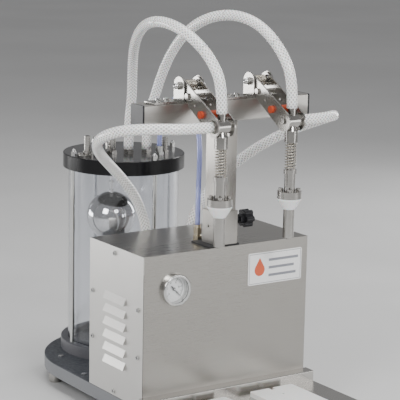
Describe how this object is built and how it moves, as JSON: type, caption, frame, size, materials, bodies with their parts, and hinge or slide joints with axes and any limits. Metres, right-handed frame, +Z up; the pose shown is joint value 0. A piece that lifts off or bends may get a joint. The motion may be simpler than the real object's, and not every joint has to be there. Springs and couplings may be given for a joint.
{
  "type": "bench vacuum bottle filler",
  "caption": "Two-spout bench vacuum bottle filler: steel housing, height-adjustable mast, swinging nozzles, clear overflow vessel, hoses and drip tray.",
  "frame": {"origin": "on the bench, under the middle of the machine", "axes": "+Z up, the front with the drip tray towards -Y, +X to the operator's right"},
  "size_m": [0.3889, 0.5599, 0.6236],
  "materials": {
    "steel": "brushed",
    "chrome": "polished",
    "base_black": "matte",
    "white_plastic": "matte",
    "plate": "gloss",
    "dial": "matte",
    "clear": "polished",
    "black_paint": "matte",
    "rubber_black": "matte",
    "black_plastic": "satin",
    "grey_plastic": "satin",
    "acrylic": "polished",
    "lid_black": "polished",
    "brass": "satin",
    "cast": "cast",
    "rocker_red": "gloss",
    "rubber_orange": "satin",
    "spring": "satin",
    "silicone_white": "satin",
    "hose": "satin",
    "blue_tube": "satin"
  },
  "bodies": {
    "frame": {"base_plate": "base_black", "base_feet": "steel", "drip_tray": "steel", "bottle_pads": "white_plastic", "housing_shell": "steel", "side_cover": "steel", "housing_screws": "steel", "name_plate": "plate", "gauge_case": "chrome", "gauge_dial": "dial", "gauge_lens": "clear", "socket_pad": "rubber_black", "post_socket": "steel", "vessel_ring": "grey_plastic", "vessel_tube": "acrylic", "vessel_seals": "rubber_black", "vessel_lid": "lid_black", "tie_rods": "steel", "lid_port": "steel", "float_valve_body": "steel", "hose_tails": "steel", "tube_fitting": "steel", "relief_valve": "steel", "port_fitting": "brass", "product_manifold": "steel", "pump_head": "cast", "motor_body": "cast", "power_module": "black_plastic", "vacuum_hose_left": "hose", "vacuum_hose_right": "hose", "product_hose_left": "hose", "product_hose_right": "hose", "blue_tube": "blue_tube"},
    "mast": {"post": "steel", "crossbar": "steel", "bar_end_caps": "black_plastic", "arm_brackets": "steel", "bracket_fasteners": "chrome"},
    "knob": {"clamp_knob": "black_plastic"},
    "needle": {"gauge_needle": "black_paint"},
    "float": {"float_ball": "chrome"},
    "lever": {"valve_lever": "steel"},
    "rotor": {"motor_rotor": "cast"},
    "switch": {"rocker": "rocker_red"},
    "arm_left": {"arm_left": "steel", "arm_bumper_left": "rubber_orange", "arm_spring_left": "spring"},
    "head_left": {"head_block_left": "steel", "inner_tube_left": "steel", "nozzle_spring_left": "spring"},
    "sleeve_left": {"nozzle_sleeve_left": "steel", "sealing_cone_left": "silicone_white"},
    "arm_right": {"arm_right": "steel", "arm_bumper_right": "rubber_orange", "arm_spring_right": "spring"},
    "head_right": {"head_block_right": "steel", "inner_tube_right": "steel", "nozzle_spring_right": "spring"},
    "sleeve_right": {"nozzle_sleeve_right": "steel", "sealing_cone_right": "silicone_white"}
  },
  "joints": [
    {"name": "mast_height", "type": "slide", "parent": "frame", "child": "mast", "axis": [0, 0, 1], "range_m": [-0.06, 0.05], "deforming": ["vacuum_hose_left", "vacuum_hose_right", "product_hose_left", "product_hose_right"]},
    {"name": "knob_turn", "type": "hinge", "parent": "frame", "child": "knob", "pos_m": [0.04, -0.1075, 0.309], "axis": [1, 0, 0], "range_deg": [0, 360]},
    {"name": "arm_swing_left", "type": "hinge", "parent": "mast", "child": "arm_left", "pos_m": [-0.0625, -0.111, 0.5195], "axis": [-1, 0, 0], "range_deg": [0, 35], "stiffness_Nm_per_rad": 0.6, "springref_deg": -20.05, "deforming": ["arm_spring_left", "vacuum_hose_left", "product_hose_left"]},
    {"name": "head_level_left", "type": "hinge", "parent": "arm_left", "child": "head_left", "pos_m": [-0.0625, -0.196, 0.47], "axis": [-1, 0, 0], "range_deg": [-35, 0]},
    {"name": "nozzle_lift_left", "type": "slide", "parent": "head_left", "child": "sleeve_left", "axis": [0, 0, 1], "range_m": [0, 0.015], "stiffness_N_per_m": 400, "springref_m": -0.008, "deforming": ["nozzle_spring_left"]},
    {"name": "arm_swing_right", "type": "hinge", "parent": "mast", "child": "arm_right", "pos_m": [0.0625, -0.111, 0.5195], "axis": [-1, 0, 0], "range_deg": [0, 35], "stiffness_Nm_per_rad": 0.6, "springref_deg": -20.05, "deforming": ["arm_spring_right", "vacuum_hose_right", "product_hose_right"]},
    {"name": "head_level_right", "type": "hinge", "parent": "arm_right", "child": "head_right", "pos_m": [0.0625, -0.196, 0.47], "axis": [-1, 0, 0], "range_deg": [-35, 0]},
    {"name": "nozzle_lift_right", "type": "slide", "parent": "head_right", "child": "sleeve_right", "axis": [0, 0, 1], "range_m": [0, 0.015], "stiffness_N_per_m": 400, "springref_m": -0.008, "deforming": ["nozzle_spring_right"]},
    {"name": "gauge_needle_turn", "type": "hinge", "parent": "frame", "child": "needle", "pos_m": [-0.0943, -0.128, 0.2198], "axis": [0, -1, 0], "range_deg": [0, 270]},
    {"name": "float_rise", "type": "slide", "parent": "frame", "child": "float", "axis": [0, 0, 1], "range_m": [0, 0.012]},
    {"name": "valve_lever_turn", "type": "hinge", "parent": "frame", "child": "lever", "pos_m": [-0.037, 0.164, 0.389], "axis": [1, 0, 0], "range_deg": [-90, 90]},
    {"name": "rocker_press", "type": "hinge", "parent": "frame", "child": "switch", "pos_m": [0.09, 0.02, 0.108], "axis": [1, 0, 0], "range_deg": [-12, 0]},
    {"name": "motor_spin", "type": "hinge", "parent": "frame", "child": "rotor", "pos_m": [0, -0.05, 0.084], "axis": [1, 0, 0], "continuous": true}
  ],
  "couplings": [
    {"joint": "head_level_left", "follows": "arm_swing_left", "ratio": -1},
    {"joint": "head_level_right", "follows": "arm_swing_right", "ratio": -1}
  ]
}
